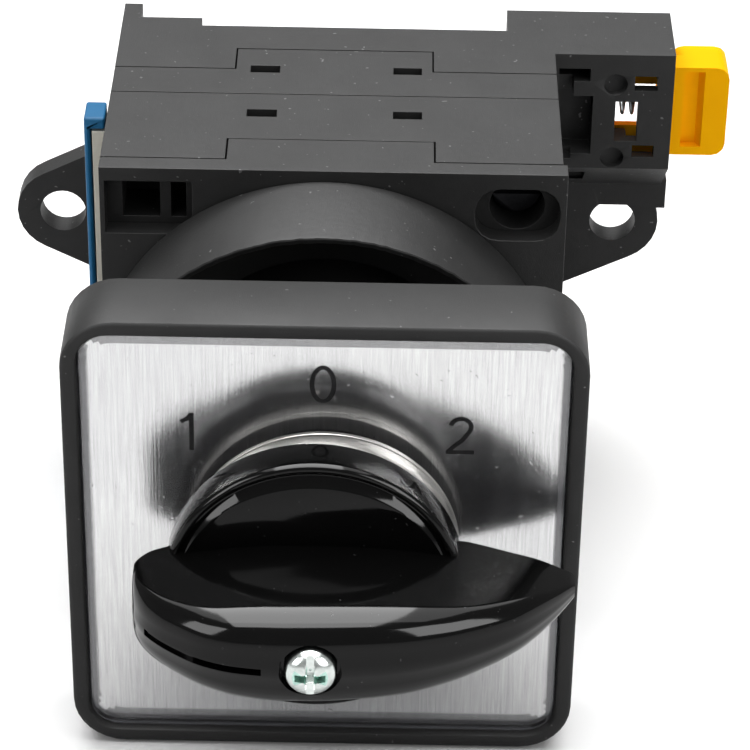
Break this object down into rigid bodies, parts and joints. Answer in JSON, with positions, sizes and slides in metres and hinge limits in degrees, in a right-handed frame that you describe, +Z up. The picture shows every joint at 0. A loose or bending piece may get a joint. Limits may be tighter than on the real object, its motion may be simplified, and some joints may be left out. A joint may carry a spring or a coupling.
{
  "type": "manual transfer switch",
  "caption": "Rotary changeover switch with a square legend plate, beaked knob, ring collar, stacked contact blocks and a clip-on rail base.",
  "frame": {"origin": "on the shaft axis, on the floor of the rail channel at the back of the base", "axes": "+Z up as the legend digits read, the front plate faces -Y, the shaft lies along Y, and the rail runs along Z behind the base"},
  "size_m": [0.0767, 0.085, 0.0484],
  "materials": {
    "housing_plastic": "fine-grained moulded dark grey plastic",
    "knob_plastic": "polished black",
    "legend_aluminium": "brushed",
    "clear_plastic": "clear, polished",
    "collar_metal": "satin turned",
    "zinc": "bright zinc plated",
    "spring_steel": "drawn wire and bar steel",
    "contact_brass": "stamped strip",
    "contact_copper": "stamped copper alloy strip",
    "cam_nylon": "natural nylon",
    "carrier_plastic": "natural nylon",
    "backing_plastic": "cream",
    "latch_yellow": "moulded yellow",
    "marker_blue": "moulded blue"
  },
  "bodies": {
    "housing": {"bezel_frame": "housing_plastic", "legend_plate": "legend_aluminium", "clear_cover": "clear_plastic", "collar_ring": "collar_metal", "bearing_neck": "housing_plastic", "panel_ring": "housing_plastic", "detent_housing": "housing_plastic", "detent_spring_top": "spring_steel", "detent_spring_bottom": "spring_steel", "wafer_housing_1": "housing_plastic", "wafer_housing_2": "housing_plastic", "contact_spring_1_top": "spring_steel", "contact_spring_1_bottom": "spring_steel", "contact_spring_2_top": "spring_steel", "contact_spring_2_bottom": "spring_steel", "fixed_contact_1_top_left": "contact_brass", "fixed_contact_1_top_right": "contact_brass", "fixed_contact_1_bottom_left": "contact_brass", "fixed_contact_1_bottom_right": "contact_brass", "fixed_contact_2_top_left": "contact_brass", "fixed_contact_2_top_right": "contact_brass", "fixed_contact_2_bottom_left": "contact_brass", "fixed_contact_2_bottom_right": "contact_brass", "terminal_screw_1_top_left": "zinc", "terminal_screw_1_top_right": "zinc", "terminal_screw_1_bottom_left": "zinc", "terminal_screw_1_bottom_right": "zinc", "terminal_screw_2_top_left": "zinc", "terminal_screw_2_top_right": "zinc", "terminal_screw_2_bottom_left": "zinc", "terminal_screw_2_bottom_right": "zinc", "tie_bolt_top": "zinc", "tie_bolt_bottom": "zinc", "rail_base": "housing_plastic", "latch_spring": "spring_steel", "marker_strip": "marker_blue", "marker_backing": "backing_plastic"},
    "rotor": {"knob": "knob_plastic", "knob_screw": "zinc", "shaft": "spring_steel", "detent_wheel": "cam_nylon", "cam_1": "cam_nylon", "cam_2": "cam_nylon"},
    "detent_slider_top": {"detent_roller_top": "spring_steel", "detent_carrier_top": "cam_nylon"},
    "detent_slider_bottom": {"detent_roller_bottom": "spring_steel", "detent_carrier_bottom": "cam_nylon"},
    "contact_carrier_1_top": {"plunger_1_top": "carrier_plastic", "contact_bridge_1_top": "contact_copper"},
    "contact_carrier_1_bottom": {"plunger_1_bottom": "carrier_plastic", "contact_bridge_1_bottom": "contact_copper"},
    "contact_carrier_2_top": {"plunger_2_top": "carrier_plastic", "contact_bridge_2_top": "contact_copper"},
    "contact_carrier_2_bottom": {"plunger_2_bottom": "carrier_plastic", "contact_bridge_2_bottom": "contact_copper"},
    "rail_latch": {"rail_latch": "latch_yellow"}
  },
  "joints": [
    {"name": "rotor_turn", "type": "hinge", "parent": "housing", "child": "rotor", "pos_m": [0, 0, 0], "axis": [0, 1, 0], "range_deg": [-45, 45]},
    {"name": "contact_1_top_slide", "type": "slide", "parent": "housing", "child": "contact_carrier_1_top", "axis": [0, 0, 1], "range_m": [-0.00121, 0.00121], "stiffness_N_per_m": 0.15, "springref_m": 0.0569, "deforming": ["contact_spring_1_top"]},
    {"name": "contact_1_bottom_slide", "type": "slide", "parent": "housing", "child": "contact_carrier_1_bottom", "axis": [0, 0, 1], "range_m": [-0.00121, 0.00121], "stiffness_N_per_m": 0.15, "springref_m": 0.0569, "deforming": ["contact_spring_1_bottom"]},
    {"name": "contact_2_top_slide", "type": "slide", "parent": "housing", "child": "contact_carrier_2_top", "axis": [0, 0, 1], "range_m": [-0.00121, 0.00121], "stiffness_N_per_m": 0.15, "springref_m": 0.0569, "deforming": ["contact_spring_2_top"]},
    {"name": "contact_2_bottom_slide", "type": "slide", "parent": "housing", "child": "contact_carrier_2_bottom", "axis": [0, 0, 1], "range_m": [-0.00121, 0.00121], "stiffness_N_per_m": 0.15, "springref_m": 0.0569, "deforming": ["contact_spring_2_bottom"]},
    {"name": "detent_top_slide", "type": "slide", "parent": "housing", "child": "detent_slider_top", "axis": [0, 0, -1], "range_m": [0, 0.0008], "stiffness_N_per_m": 100, "springref_m": 0.002, "deforming": ["detent_spring_top"]},
    {"name": "detent_bottom_slide", "type": "slide", "parent": "housing", "child": "detent_slider_bottom", "axis": [0, 0, 1], "range_m": [0, 0.0008], "stiffness_N_per_m": 100, "springref_m": 0.002, "deforming": ["detent_spring_bottom"]},
    {"name": "rail_latch_slide", "type": "slide", "parent": "housing", "child": "rail_latch", "axis": [1, 0, 0], "range_m": [0, 0.0022], "stiffness_N_per_m": 300, "springref_m": -0.003, "deforming": ["latch_spring"]}
  ],
  "couplings": [
    {"joint": "contact_1_top_slide", "follows": "rotor_turn", "m_per_rad": 0.0015279},
    {"joint": "contact_1_bottom_slide", "follows": "rotor_turn", "m_per_rad": 0.0015279},
    {"joint": "contact_2_top_slide", "follows": "rotor_turn", "m_per_rad": 0.0015279},
    {"joint": "contact_2_bottom_slide", "follows": "rotor_turn", "m_per_rad": 0.0015279}
  ]
}
